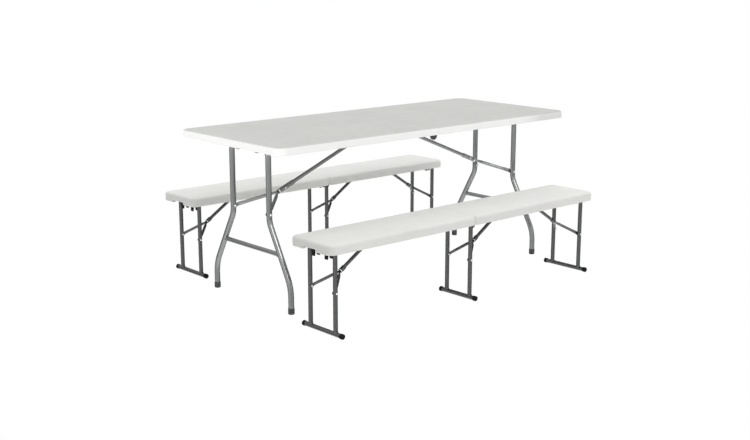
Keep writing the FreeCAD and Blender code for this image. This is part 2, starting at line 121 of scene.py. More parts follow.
class TubeSizes(bpy.types.PropertyGroup):
    """Sizes of the tube frames, their caps and their braces."""
    leg: pair("Leg tube", "Diameter of a leg's tube", 25.0, 19.0)
    bend: pair("Top bend", "Radius of the bend at the top of a leg", 26.0, 20.0)
    bar: pair("Bar tube", "Diameter of a crossbar or foot bar", 20.0, 19.5)
    strut: pair("Strut tube", "Diameter of a brace's strut", 17.0, 15.0)
    arm: pair("Yoke tube", "Diameter of a yoke's arms", 16.0, 13.0)
    splay_radius: length("Splay radius", "Radius of a table leg's upper bend", 90.0)
    foot_radius: length("Foot radius", "Radius of a table leg's lower bend", 180.0)
    splay_angle: angle("Splay angle", "Slant of a table leg between its bends", math.radians(29.0))
    splay_start: length("Splay height", "Height at which a table leg starts to splay", 402.0)
    crossbar_height: length("Crossbar height", "Height of a table frame's crossbar", 248.0)
    table_cap: length("Table foot cap", "Diameter of a table leg's foot cap", 29.0)
    bench_cap: length("Bench foot cap", "Length of a foot bar's end cap", 15.0)
    cap_play: length("Cap play", "Gap between a foot cap and its tube", 0.1)
    bead: length("Weld bead", "Size of a weld bead", 2.0)
    sides: IntProperty(name="Tube sides", description="Faces round a tube", default=28, min=8, max=64)
    bend_steps: IntProperty(name="Bend steps", description="Steps along each bend", default=10, min=3, max=40)


class FlatSizes(bpy.types.PropertyGroup):
    """Sizes of the flattened ends, rivets and collars."""
    tongue: pair("Tongue", "Thickness of a flattened strut end", 5.0, 4.0)
    tongue_half: pair("Tongue half height", "Half the height of a flattened end", 6.0, 5.5)
    tip: length("Tip", "Half the height at a flat end's tip", 0.2)
    cheek: pair("Cheek", "Thickness of a yoke's flattened end", 3.0, 2.5)
    plate_run: pair("Plate run", "Length of a yoke's flat beside a leg", 15.0, 12.0)
    plate_half: pair("Plate half height", "Half the height of a yoke's flat beside a leg", 9.5, 7.6)
    play: length("Side play", "Gap beside a moving flat end", 0.3)
    rivet: pair("Rivet head", "Diameter of a rivet's head", 10.0, 7.5)
    rivet_rise: length("Rivet height", "Height of a rivet's head", 2.4)
    rivet_seat: length("Rivet seat", "How far a head sits into a round tube", 0.3)
    plate_seat: length("Plate seat", "How far a head sits into a yoke's flat", 0.2)
    pin_rise: length("Pin height", "Height of the head of a knee's pin", 0.6)
    pin_seat: length("Pin seat", "How far a pin or screw sits into its plate", 0.1)
    collar_play: length("Collar play", "Gap between a collar and its strut", 0.5)
    collar_cover: length("Collar cover", "How far a collar reaches past the knee", 5.0)
    ring: pair("Ring", "Width of the bright ring on a collar", 6.0, 3.0)
    sleeve_rivet: length("Sleeve rivet", "Distance of a sleeve's rivets from the knee", 32.0)


class TopSizes(bpy.types.PropertyGroup):
    """Sizes of the moulded halves and of what is fixed to their undersides."""
    slab: pair("Slab", "Thickness of a moulded half above its recess", 20.0, 18.0)
    rim: pair("Rim", "Width of the edge round a recess", 25.0, 20.0)
    channel: pair("Channel", "Half the width left free of ribs for the braces", 30.0, 14.0)
    seam: pair("Seam softening", "Rounding where two halves meet", 0.6, 13.0)
    white_start: length("White edge", "Depth at which the table's edge is all white", 6.0)
    white_end: length("Edge blend", "Depth at which the table's edge starts to whiten", 0.5)
    rib_depth: length("Rib depth", "Depth of the ribs on an underside", 3.0)
    rib_width: length("Rib width", "Width of the ribs", 5.0)
    rib_pitch: length("Rib pitch", "Spacing of the ribs", 78.0)
    rib_edge: length("Rib edge", "Bevel on the edges of the ribs", 0.8)
    edge: length("Edge softening", "Bevel on the edges of hinges and brackets", 0.7)
    strap: length("Saddle strap", "Thickness of a saddle below the table's tube", 1.0)
    plate: length("Bracket plate", "Thickness of a strut bracket's plate", 2.5)
    plate_long: pair("Plate length", "Length of a strut bracket's plate", 44.0, 36.0)
    plate_wide: pair("Plate width", "Width of a strut bracket's plate", 30.0, 26.0)
    screw: length("Screw head", "Diameter of a bracket's screws", 5.5)
    clip: length("Clip", "Thickness of a bench clip's prongs", 6.0)
    clip_width: length("Clip width", "Width of a bench clip", 18.0)
    clip_drop: length("Clip drop", "How far a clip's prongs pass the bracket", 9.0)
    clip_inset: length("Clip inset", "Distance of a clip from its leg's middle", 39.0)


class Finishes(bpy.types.PropertyGroup):
    """Colours of the finishes."""
    plastic: colour("White plastic", "Moulded seats", (0.86, 0.86, 0.835))
    # The table top's face colour is darker than its edge's as painted shade; the edge keeps the plastic's own
    # white
    edge_plastic: colour("Edge plastic", "Smooth edge of the table top", (0.86, 0.86, 0.85))
    table_face_painted_shade: colour("Table plastic", "Pebbled face of the table top", (0.572, 0.577, 0.555))
    table_paint: colour("Table paint", "Powder coat on the table's tubes", (0.165, 0.171, 0.169))
    bench_paint: colour("Bench paint", "Powder coat on the benches' tubes", (0.062, 0.063, 0.064))
    zinc: colour("Zinc plate", "Rivets, pins and rings", (0.52, 0.53, 0.54))
    black_paint: colour("Black paint", "Hinges and brackets", (0.035, 0.035, 0.038))
    rubber: colour("Foot rubber", "Foot caps of the table", (0.075, 0.076, 0.078))
    black_plastic: colour("Black plastic", "End caps and clips of the benches", (0.008, 0.008, 0.009))
    floor: colour("Floor", "Floor below the set", (0.86, 0.86, 0.86))


class StageSettings(bpy.types.PropertyGroup):
    """Camera, floor and light."""
    camera_place: FloatVectorProperty(name="Camera place", description="Where the camera stands", size=3,
                                      default=(-3.6512, -4.0455, 1.4857), unit="LENGTH",
                                      subtype="TRANSLATION")
    camera_yaw: angle("Camera yaw", "Turn from +Y towards +X", 0.7269)
    camera_pitch: angle("Camera pitch", "Tilt above the horizon", -0.2232)
    camera_roll: angle("Camera roll", "Roll about the line of sight", 0.0004)
    focal_share: number("Focal share", "Focal length over the picture's width", 1.5364)
    sensor: number("Sensor", "Sensor width in millimetres", 36.0)
    floor_size: length("Floor size", "Width of the floor", 40000.0)
    floor_gap: length("Floor gap", "How far the floor lies below the feet", 0.3)
    front_power: number("Front strip", "Watts of the strip before the table's side", 0.22)
    end_power: number("End strip", "Watts of the strip before the table's end", 0.43)
    strip_height: length("Strip height", "Height of a strip's face", 80.0)
    strip_spread: angle("Strip spread", "Angle over which a strip spreads", math.radians(12.0))
    sky_bright: number("Bright sky", "Strength of the surround on the right", 0.78)
    sky_dim: number("Dim sky", "Strength of the surround on the left", 0.22)
    sky_above: number("Overhead sky", "Strength added to the surround overhead", 0.585)
    shine_bright: number("Bright shine", "Surround seen in shiny fronts", 2.0)
    shine_dim: number("Dim shine", "Surround seen in shiny edges", 0.05)
    shine_above: number("Shine above", "Strength added above the horizon for shiny faces", 0.7)
    shine_lamp: number("Shine lamp", "Strength added overhead for shiny faces", 1.5)
    shine_below: number("Shine below", "Strength added below for shiny undersides", 1.6)
    streak: number("Left streak", "Band seen at the left of shiny tubes", 1.0)
    right_streak: number("Right streak", "Band seen at the right of shiny tubes", 0.2)
    glint: number("Glint", "Lamp seen along the slanted legs", 12.0)


def kind_of(name):
    """Which of a pair of sizes holds for a piece, by its name."""
    return TABLE if name.startswith("table") else BENCH


def tubes():
    return bpy.context.scene.picnic_tubes


def flats():
    return bpy.context.scene.picnic_flats


def tops():
    return bpy.context.scene.picnic_tops


def finishes():
    return bpy.context.scene.picnic_finishes


# Materials

# Values between which a noise pattern mostly lies, for gloss and for shade
GLOSS_ENDS = (0.3, 0.7)
SHADE_ENDS = (0.32, 0.68)
# Blotches of gloss to one cloud of shade
BLOTCHES = 5.0


def new_material(name):
    """An empty node material with its shader, its output and the piece's own coordinates."""
    material = bpy.data.materials.new(name)
    material.use_nodes = True
    tree = material.node_tree
    tree.nodes.clear()
    shader = tree.nodes.new("ShaderNodeBsdfPrincipled")
    output = tree.nodes.new("ShaderNodeOutputMaterial")
    tree.links.new(shader.outputs["BSDF"], output.inputs["Surface"])
    coordinates = tree.nodes.new("ShaderNodeTexCoord")
    return material, shader, coordinates.outputs["Object"]


def node_of(tree, kind):
    """The first node of a kind in a tree."""
    return next(node for node in tree.nodes if node.bl_idname == kind)


def add_noise(tree, vector, scale, detail=2.0):
    """A noise pattern, with its scale in cells to the metre."""
    noise = tree.nodes.new("ShaderNodeTexNoise")
    noise.inputs["Scale"].default_value = scale
    noise.inputs["Detail"].default_value = detail
    tree.links.new(vector, noise.inputs["Vector"])
    return noise.outputs["Fac"]


def add_grade(tree, value, start, end, low=0.0, high=1.0, kind="LINEAR"):
    """Maps a value between a start and an end onto a range."""
    grade = tree.nodes.new("ShaderNodeMapRange")
    grade.interpolation_type = kind
    for socket, limit in (("From Min", start), ("From Max", end), ("To Min", low), ("To Max", high)):
        grade.inputs[socket].default_value = limit
    tree.links.new(value, grade.inputs["Value"])
    return grade.outputs["Result"]


def add_tint(tree, shader, value, base, shades):
    """Lets a pattern carry the base colour between a darker and a lighter shade of it."""
    ramp = tree.nodes.new("ShaderNodeValToRGB")
    for element, share, place in zip(ramp.color_ramp.elements, shades, SHADE_ENDS):
        element.position = place
        element.color = [min(1.0, part * share) for part in base] + [1.0]
    tree.links.new(value, ramp.inputs["Fac"])
    tree.links.new(ramp.outputs["Color"], shader.inputs["Base Color"])


def add_bump(tree, shader, value, strength, distance):
    """Raises the surface by a pattern."""
    bump = tree.nodes.new("ShaderNodeBump")
    bump.inputs["Strength"].default_value = strength
    bump.inputs["Distance"].default_value = distance
    tree.links.new(value, bump.inputs["Height"])
    tree.links.new(bump.outputs["Normal"], shader.inputs["Normal"])


def grained(name, base, shades, rough, grain, depth, cloud, strength, metallic=0.0, gloss=0.5):
    """A finish with a fine grain, cloudy shade and uneven gloss; grain and cloud are cells to the metre."""
    material, shader, place = new_material(name)
    tree = material.node_tree
    shader.inputs["Metallic"].default_value = metallic
    shader.inputs["Specular IOR Level"].default_value = gloss
    add_tint(tree, shader, add_noise(tree, place, cloud, detail=4.0), base, shades)
    blotches = add_noise(tree, place, cloud * BLOTCHES, detail=3.0)
    tree.links.new(add_grade(tree, blotches, *GLOSS_ENDS, *rough), shader.inputs["Roughness"])
    add_bump(tree, shader, add_noise(tree, place, grain), strength, depth)
    return material


def make_materials():
    """One finish for each slot of the record, and one for the table's top, whose flat face is painted darker
    than its edge: painted shade.
    """
    paint = finishes()
    moulded = dict(shades=(0.965, 1.02), rough=(0.40, 0.54), grain=750.0, depth=0.5 * MM, cloud=4.0,
                   strength=0.45, gloss=0.15)
    coat = dict(shades=(0.96, 1.04), grain=1400.0, depth=0.1 * MM, cloud=16.0, strength=0.06)
    looks = {
        "white_moulded_plastic": dict(base=paint.plastic, **moulded),
        # Table top: same plastic as the seats, with its face colour darkened as painted shade
        "table_top_shaded_plastic": dict(base=paint.table_face_painted_shade, **moulded),
        "table_grey_powder_coat": dict(base=paint.table_paint, rough=(0.13, 0.17), metallic=0.35, **coat),
        "bench_grey_powder_coat": dict(base=paint.bench_paint, rough=(0.24, 0.29), metallic=0.3, gloss=0.36,
                                       **coat),
        ZINC: dict(base=paint.zinc, shades=(0.86, 1.08), rough=(0.20, 0.34), grain=900.0, depth=0.15 * MM,
                   cloud=60.0, strength=0.3, metallic=1.0),
        "dark_painted_steel": dict(base=paint.black_paint, shades=(0.85, 1.2), rough=(0.36, 0.50),
                                   grain=1300.0, depth=0.2 * MM, cloud=22.0, strength=0.4, gloss=0.3),
        "dark_grey_rubber": dict(base=paint.rubber, shades=(0.85, 1.2), rough=(0.60, 0.76),
                                 grain=1100.0, depth=0.3 * MM, cloud=25.0, strength=0.6, gloss=0.25),
        "black_plastic": dict(base=paint.black_plastic, shades=(0.85, 1.25), rough=(0.50, 0.62),
                              grain=1000.0, depth=0.3 * MM, cloud=25.0, strength=0.5, gloss=0.06),
    }
    made = {name: grained(name, **look) for name, look in looks.items()}
    whiten_edge(made["table_top_shaded_plastic"], paint.edge_plastic)
    return made


def whiten_edge(material, white):
    """Turns the table top's finish to the plastic's plain white below its flat face; the darker colour of the
    flat face above it is painted shade.
    """
    tree = material.node_tree
    shader = node_of(tree, "ShaderNodeBsdfPrincipled")
    place = node_of(tree, "ShaderNodeTexCoord")
    # The face colour here is the painted shade of the table top
    face = shader.inputs["Base Color"].links[0].from_socket
    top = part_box("table_top_left")[1].z
    split = tree.nodes.new("ShaderNodeSeparateXYZ")
    tree.links.new(place.outputs["Object"], split.inputs["Vector"])
    share = add_grade(tree, split.outputs["Z"], top - tops().white_start, top - tops().white_end,
                      kind="SMOOTHSTEP")
    mix = tree.nodes.new("ShaderNodeMix")
    mix.data_type = "RGBA"
    mix.inputs["A"].default_value = (*white, 1.0)
    tree.links.new(share, mix.inputs["Factor"])
    tree.links.new(face, mix.inputs["B"])
    tree.links.new(mix.outputs["Result"], shader.inputs["Base Color"])


def material_of(slot):
    """The finish of a slot, made once."""
    if not FINISHED:
        FINISHED.update(make_materials())
    return FINISHED[slot]


# Mesh helpers

# Distances below which points count as one, and the angle below which faces do
WELD = 1e-6
MIRROR_WELD = 1e-5
CAD_WELD = 2e-5
FLAT_ANGLE = math.radians(0.5)
# Outline of a rivet's head, as shares of its radius and height
DOME = ((1.0, -0.4), (1.0, 0.15), (0.86, 0.62), (0.5, 0.93), (0.0, 1.0))


def facing(direction):
    """A turn that brings Z onto a direction."""
    return Vector(direction).to_track_quat("Z", "Y").to_matrix().to_4x4()


def edges_of(made):
    """The edges among the things that an operator made."""
    return [item for item in made if isinstance(item, bmesh.types.BMEdge)]


def points_of(made):
    """The points among the things that an operator made."""
    return [item for item in made if isinstance(item, bmesh.types.BMVert)]


def whole(bm):
    """All that a mesh holds."""
    return bm.verts[:] + bm.edges[:] + bm.faces[:]


def start_ring(bm, centre, direction, radius):
    """A ring of edges square to a direction, for a tube to start from."""
    matrix = Matrix.Translation(centre) @ facing(direction)
    made = bmesh.ops.create_circle(bm, cap_ends=False, segments=tubes().sides, radius=radius, matrix=matrix)
    return list({edge for vert in made["verts"] for edge in vert.link_edges})


def run_on(bm, edges, step):
    """Draws a ring out along a straight."""
    made = bmesh.ops.extrude_edge_only(bm, edges=edges)["geom"]
    bmesh.ops.translate(bm, vec=step, verts=points_of(made))
    return edges_of(made)


def bend_on(bm, edges, centre, turn):
    """Draws a ring round a bend about X."""
    made = bmesh.ops.spin(bm, geom=edges, cent=centre, axis=ALONG, angle=turn, steps=tubes().bend_steps,
                          use_merge=False, use_duplicate=False)["geom_last"]
    return edges_of(made)


def cap_ring(bm, edges):
    """Closes a tube's end."""
    bmesh.ops.edgeloop_fill(bm, edges=edges)


def mirror_y(bm, plane):
    """Adds the mirror image across a plane square to Y, and welds the two."""
    bmesh.ops.mirror(bm, geom=whole(bm), matrix=Matrix.Translation((0, -plane, 0)), merge_dist=MIRROR_WELD,
                     axis="Y")


def lathe(bm, outline, centre, axis, steps):
    """Turns an outline of (radius, height) pairs about an axis; one that ends on the axis is closed."""
    made = [bm.verts.new((radius, 0.0, height)) for radius, height in outline]
    edges = [bm.edges.new(pair) for pair in zip(made, made[1:])]
    bmesh.ops.spin(bm, geom=made + edges, cent=(0, 0, 0), axis=UP, angle=2 * math.pi, steps=steps,
                   use_merge=True, use_duplicate=False)
    fresh = [vert for vert in bm.verts if not vert.tag]
    bmesh.ops.transform(bm, matrix=Matrix.Translation(centre) @ facing(axis), verts=fresh)
    settle(bm)


def settle(bm):
    """Marks what is made so far, so that a later lathe moves only its own points."""
    for vert in bm.verts:
        vert.tag = True


def rivet(bm, centre, axis, diameter, rise):
    """A domed rivet head on a surface."""
    lathe(bm, [(diameter / 2 * wide, rise * tall) for wide, tall in DOME], centre, axis, steps=20)


def loft(bm, stations):
    """A tube through flat or round sections: (place along X, middle in Y, half width, half height)."""
    x, y, wide, tall = stations[0]
    ring = start_ring(bm, (0, 0, 0), ALONG, 1.0)
    points = list({vert for edge in ring for vert in edge.verts})
    matrix = Matrix.Translation((x, y, 0)) @ Matrix.Diagonal((1, wide, tall, 1))
    bmesh.ops.transform(bm, matrix=matrix, verts=points)
    cap_ring(bm, ring)
    for before, after in zip(stations, stations[1:]):
        made = bmesh.ops.extrude_edge_only(bm, edges=ring)["geom"]
        ring = edges_of(made)
        back = Matrix.Translation((-before[0], -before[1], 0))
        grow = Matrix.Diagonal((1, after[2] / before[2], after[3] / before[3], 1))
        place = Matrix.Translation((after[0], after[1], 0))
        bmesh.ops.transform(bm, matrix=place @ grow @ back, verts=points_of(made))
    cap_ring(bm, ring)


def add_bar(bm, centre, size):
    """A straight bar along the axes."""
    matrix = Matrix.Translation(centre) @ Matrix.Diagonal((*size, 1))
    bmesh.ops.create_cube(bm, size=1.0, matrix=matrix)


def soften(bm, size, segments):
    """Rounds all edges."""
    bmesh.ops.bevel(bm, geom=bm.edges[:], offset=size, offset_type="OFFSET", affect="EDGES",
                    segments=segments, profile=0.5, material=-1)


def add_object(name, data):
    """An object in the scene that shows some data."""
    made = bpy.data.objects.new(name, data)
    bpy.context.scene.collection.objects.link(made)
    return made


def mesh_object(name, bm):
    """An object in the scene from a mesh that is ready."""
    mesh = bpy.data.meshes.new(name)
    bm.to_mesh(mesh)
    bm.free()
    return add_object(name, mesh)


def finish_piece(name, bm, slot, body, nodes=(), sharp=40.0, material=None):
    """Turns a mesh into a piece that rides on a body, and stands for CAD nodes if any are named."""
    bmesh.ops.remove_doubles(bm, verts=bm.verts, dist=WELD)
    bmesh.ops.recalc_face_normals(bm, faces=bm.faces)
    piece = mesh_object(name, bm)
    piece.data.polygons.foreach_set("use_smooth", [True] * len(piece.data.polygons))
    piece.data.set_sharp_from_angle(angle=math.radians(sharp))
    piece.data.materials.append(material or material_of(slot))
    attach(piece, body)
    if nodes:
        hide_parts(*nodes)
    return piece


def merged_copy(node):
    """A welded copy of a CAD node's mesh, to refine."""
    bm = bmesh.new()
    bm.from_mesh(frame["nodes"][node].data)
    bmesh.ops.remove_doubles(bm, verts=bm.verts, dist=CAD_WELD)
    bmesh.ops.dissolve_limit(bm, angle_limit=FLAT_ANGLE, verts=bm.verts, edges=bm.edges)
    return bm


# Frames and braces

# A weld bead's outline, and how high on a foot bar's tube a leg's bead lies
BEAD_ANGLES = tuple(math.radians(degrees) for degrees in range(-120, 121, 40))
BEAD_HEIGHT = 0.45
# Angles round the tip of a flattened end, from the tip to its full height
TIP_ANGLES = tuple(math.radians(degrees) for degrees in (4, 25, 45, 65, 90))
# Lengths of a strut's flat end, of the crimp behind it and of a yoke's cheek, in half heights of the flat
FLAT_RUN = 2.6
CRIMP_RUN = 3.2
CHEEK_RUN = 1.8
# Sections of a strut's flat and crimp, as shares of their length, half width and half height
FLAT_SECTIONS = ((0.7, 1.0, 1.0), (1.0, 1.1, 1.02))
CRIMP_SECTIONS = ((0.4, 0.72, 0.94), (0.75, 0.97, 1.0), (1.0, 1.0, 1.0))
# Share of the crimp after which a yoke's arm clears the strut's whole tube
CRIMP_CLEAR = 0.7
# Shares of a yoke's arm over which it grows round from its cheek and flat to its plate, and its width
ARM_STEPS = 16
ARM_RISE = 0.22
ARM_FALL = 0.25
ARM_WIDTH = 1.2
# Ends of a collar's sleeve, outwards and along, in thicknesses of its wall
SLEEVE_MOUTH = ((-0.4, 0.0), (0.0, 0.5))
SLEEVE_END = ((0.0, -2.0), (-0.3, -0.6), (-0.7, 0.0))
# A collar's ring, as millimetres outwards and shares of its width
RING_OUTLINE = ((-0.2, 0.05), (0.5, 0.2), (0.7, 0.5), (0.5, 0.8), (-0.2, 0.95))
# Width and height of the rivet on a table's sleeve, as shares of a leg's rivet
SLEEVE_HEAD_WIDTH = 0.75
SLEEVE_HEAD_RISE = 0.8
# A foot cap's sole, the grooves between its ribs and its lip, as shares of its radius and length
CAP_SOLE = ((0.0, 0.0), (0.82, 0.0), (1.0, 0.12))
CAP_GROOVE = ((1.0, 0.0), (0.95, 0.03), (0.95, 0.07), (1.0, 0.10))
CAP_GROOVES = (0.22, 0.38, 0.54, 0.70)
CAP_LIP = ((1.0, 0.90), (0.96, 1.0))
CAP_RIBS = tuple((wide, start + rise) for start in CAP_GROOVES for wide, rise in CAP_GROOVE)
CAP_OUTLINE = CAP_SOLE + CAP_RIBS + CAP_LIP

Brace = namedtuple("Brace", "leg strut knee rivet along")
BraceSizes = namedtuple("BraceSizes", "strut arm tongue half cheek head plate_run plate_half ring")


def pivot_of(joint):
    """Where a joint turns."""
    return Vector(JOINTS[joint]["pos_m"])


def brace_of(name):
    """Pivots of a frame's leg, strut and knee, the rivet of its leg, and the direction up the strut."""
    leg, strut, knee = (pivot_of(f"{name}_{joint}") for joint in ("leg_fold", "strut_turn", "knee_turn"))
    along = (strut - knee).normalized()
    return Brace(leg, strut, knee, knee - along * ((knee.x - leg.x) / along.x), along)


def brace_sizes(name):
    """Sizes of the table's or a bench's brace."""
    tube, flat, kind = tubes(), flats(), kind_of(name)
    pairs = (tube.strut, tube.arm, flat.tongue, flat.tongue_half, flat.cheek, flat.rivet, flat.plate_run,
             flat.plate_half, flat.ring)
    return BraceSizes(*(sizes[kind] for sizes in pairs))


def brace_matrix(brace):
    """Brings brace space, with X up the strut from the knee, to its place."""
    side = ACROSS if brace.along.x > 0 else -ACROSS
    turn = Matrix((brace.along, side, brace.along.cross(side))).transposed().to_4x4()
    return Matrix.Translation(brace.knee) @ turn


def make_table_frame(name):
    """One bent tube with splayed sides, a welded crossbar and the rivets of its yoke."""
    tube = tubes()
    node = name.replace("table_", "table_leg_")
    brace = brace_of(name)
    x = brace.leg.x
    tube_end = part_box(node)[0].z
    radius = tube.leg[TABLE] / 2
    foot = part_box(node.replace("leg", "foot_caps"))[1].y - tube.table_cap / 2
    upper, lower, splay = tube.splay_radius, tube.foot_radius, tube.splay_angle
    half = half_of_yoke(name) + flats().play + radius
    slant = (foot - half - (upper + lower) * (1 - math.cos(splay))) / math.sin(splay)
    bend_y = half + upper * (1 - math.cos(splay))
    bend_z = tube.splay_start - upper * math.sin(splay)
    foot_z = bend_z - slant * math.cos(splay) - lower * math.sin(splay)
    bm = bmesh.new()
    ring = start_ring(bm, (x, foot, tube_end), UP, radius)
    cap_ring(bm, ring)
    ring = run_on(bm, ring, UP * (foot_z - tube_end))
    ring = bend_on(bm, ring, (x, foot - lower, foot_z), splay)
    ring = run_on(bm, ring, Vector((0, -math.sin(splay), math.cos(splay))) * slant)
    ring = bend_on(bm, ring, (x, half + upper, tube.splay_start), -splay)
    close_frame(bm, ring, brace.leg, tube.splay_start, half, tube.bend[TABLE])
    bar_z = tube.crossbar_height
    bar_half = bend_y + (bend_z - bar_z) * math.tan(splay)
    ring = start_ring(bm, (x, -bar_half, bar_z), ACROSS, tube.bar[TABLE] / 2)
    run_on(bm, ring, ACROSS * (2 * bar_half))
    settle(bm)
    weld_y = bar_half - radius / math.cos(splay)
    for side in (-1, 1):
        weld_bead(bm, (x, side * weld_y, bar_z), ACROSS, tube.bar[TABLE] / 2)
    finish_frame(node, bm, brace, half + radius)


def make_bench_frame(name):
    """One bent tube welded to its foot bar, with weld beads and the rivets of its yoke."""
    tube = tubes()
    bench, side_name = name.rsplit("_", 1)
    node = f"{bench}_leg_{side_name}"
    brace = brace_of(name)
    x, y = brace.leg.x, brace.leg.y
    low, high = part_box(node)
    radius = tube.leg[BENCH] / 2
    half = half_of_yoke(name) + flats().play + radius
    bar_z = low.z + tube.bar[BENCH] / 2
    bm = bmesh.new()
    ring = start_ring(bm, (x, y + half, bar_z), UP, radius)
    close_frame(bm, ring, brace.leg, bar_z, half, tube.bend[BENCH])
    ring = start_ring(bm, (x, low.y, bar_z), ACROSS, tube.bar[BENCH] / 2)
    cap_ring(bm, ring)
    ring = run_on(bm, ring, ACROSS * (high.y - low.y))
    cap_ring(bm, ring)
    settle(bm)
    for side in (-1, 1):
        weld_bead(bm, (x, y + side * half, bar_z + tube.bar[BENCH] * BEAD_HEIGHT), UP, radius)
    finish_frame(node, bm, brace, half + radius)


def half_of_yoke(name):
    """Half the width of a frame's yoke."""
    low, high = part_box(f"{name}_yoke")
    return (high.y - low.y) / 2


def close_frame(bm, ring, leg, start, half, bend):
    """Takes a leg's tube up from a height and round the top bend to the middle, and mirrors it."""
    ring = run_on(bm, ring, UP * (leg.z - bend - start))
    ring = bend_on(bm, ring, (leg.x, leg.y + half - bend, leg.z - bend), math.pi / 2)
    run_on(bm, ring, -ACROSS * (half - bend))
    mirror_y(bm, leg.y)


def finish_frame(node, bm, brace, reach):
    """Ends a frame's tube, and adds the bright outer heads of the rivets that join it to its yoke."""
    finish_piece(f"{node}_tube", bm, SLOT_OF[node], BODY_OF[node], [node])
    flat, heads = flats(), bmesh.new()
    for side in (-1, 1):
        head_at = (brace.leg.x, brace.leg.y + side * (reach - flat.rivet_seat), brace.rivet.z)
        rivet(heads, head_at, (0, side, 0), flat.rivet[kind_of(node)], flat.rivet_rise)
    finish_piece(f"{node}_rivets", heads, ZINC, BODY_OF[node])


def weld_bead(bm, centre, axis, radius):
    """A weld bead round the end of a tube."""
    size = tubes().bead
    outline = [(radius + size * math.cos(turn), size * math.sin(turn)) for turn in BEAD_ANGLES]
    lathe(bm, outline, centre, axis, steps=24)


def round_tip(half):
    """Sections of a flattened end that is round in side view: (place from the pin, half height)."""
    return [(-half * math.cos(turn), max(half * math.sin(turn), flats().tip)) for turn in TIP_ANGLES]


def make_strut(name):
    """A tube crimped flat at both ends."""
    brace, size = brace_of(name), brace_sizes(name)
    span = (brace.strut - brace.knee).length
    thin, radius = size.tongue / 2, size.strut / 2
    flat_run, crimp = FLAT_RUN * size.half, CRIMP_RUN * size.half
    stations = [(x, 0.0, thin, tall) for x, tall in round_tip(size.half)]
    stations += [(flat_run * run, 0.0, thin * wide, size.half * tall) for run, wide, tall in FLAT_SECTIONS]
    stations += [(flat_run + crimp * run, 0.0, radius * wide, radius * tall)
                 for run, wide, tall in CRIMP_SECTIONS]
    stations += [(span - x, y, wide, tall) for x, y, wide, tall in reversed(stations)]
    bm = bmesh.new()
    loft(bm, stations)
    bmesh.ops.transform(bm, matrix=brace_matrix(brace), verts=bm.verts)
    node = f"{name}_strut"
    finish_piece(f"{node}_tube", bm, SLOT_OF[node], BODY_OF[node], [node], sharp=50.0)


def make_yoke(name):
    """Two arms that run from flat cheeks at the knee to flat plates at the legs, with a pin and rivets."""
    brace, size, flat = brace_of(name), brace_sizes(name), flats()
    node = f"{name}_yoke"
    reach = (brace.knee - brace.rivet).length
    cheek_in = size.tongue / 2 + flat.play
    cheek_out = cheek_in + size.cheek
    plate_out = half_of_yoke(name)
    plate_in = plate_out - size.cheek
    flat_run, crimp = FLAT_RUN * size.half, CRIMP_RUN * size.half
    sections = [(-x, cheek_in, cheek_out, tall) for x, tall in round_tip(size.half)]
    for x, inner, outer, tall in arm_sections(CHEEK_RUN * size.half, reach - size.plate_run, size.arm / 2,
                                              (cheek_in, cheek_out, size.half),
                                              (plate_in, plate_out, size.plate_half)):
        share = min(1.0, max(0.0, (x - flat_run) / (CRIMP_CLEAR * crimp)))
        inner = max(inner, cheek_in + (size.strut / 2 + flat.play - cheek_in) * share)
        sections.append((-x, inner, max(outer, inner + size.cheek), tall))
    sections += [(x - reach, plate_in, plate_out, tall) for x, tall in reversed(round_tip(size.plate_half))]
    arms, heads = bmesh.new(), bmesh.new()
    for side in (1, -1):
        loft(arms, [(x, side * (inner + outer) / 2, (outer - inner) / 2, tall)
                    for x, inner, outer, tall in sections])
        rivet(heads, (-reach, side * (plate_in + flat.plate_seat), 0), (0, -side, 0), size.head,
              flat.rivet_rise)
        rivet(heads, (0, side * (cheek_out - flat.pin_seat), 0), (0, side, 0), size.half, flat.pin_rise)
    for bm in (arms, heads):
        bmesh.ops.transform(bm, matrix=brace_matrix(brace), verts=bm.verts)
    finish_piece(f"{node}_arms", arms, SLOT_OF[node], BODY_OF[node], [node], sharp=60.0)
    finish_piece(f"{node}_rivets", heads, ZINC, BODY_OF[node])


def arm_sections(start, end, radius, cheek, plate):
    """Sections of a yoke's arm, flat at both ends: (place from the knee, inside, outside, half height)."""
    made = []
    for step in range(ARM_STEPS + 1):
        share = step / ARM_STEPS
        middle = (cheek[0] + cheek[1]) / 2 * (1 - share) + (plate[0] + plate[1]) / 2 * share
        full = min(1.0, share / ARM_RISE, (1 - share) / ARM_FALL)
        full = full * full * (3 - 2 * full)
        inner, outer, end_tall = cheek if share < 0.5 else plate
        thin = (outer - inner) / 2
        wide = thin + (radius * ARM_WIDTH - thin) * full
        tall = end_tall + (radius - end_tall) * full
        inner, outer = max(middle - wide, cheek[0]), min(middle + wide, plate[1])
        made.append((start + share * (end - start), inner, outer, tall))
    return made


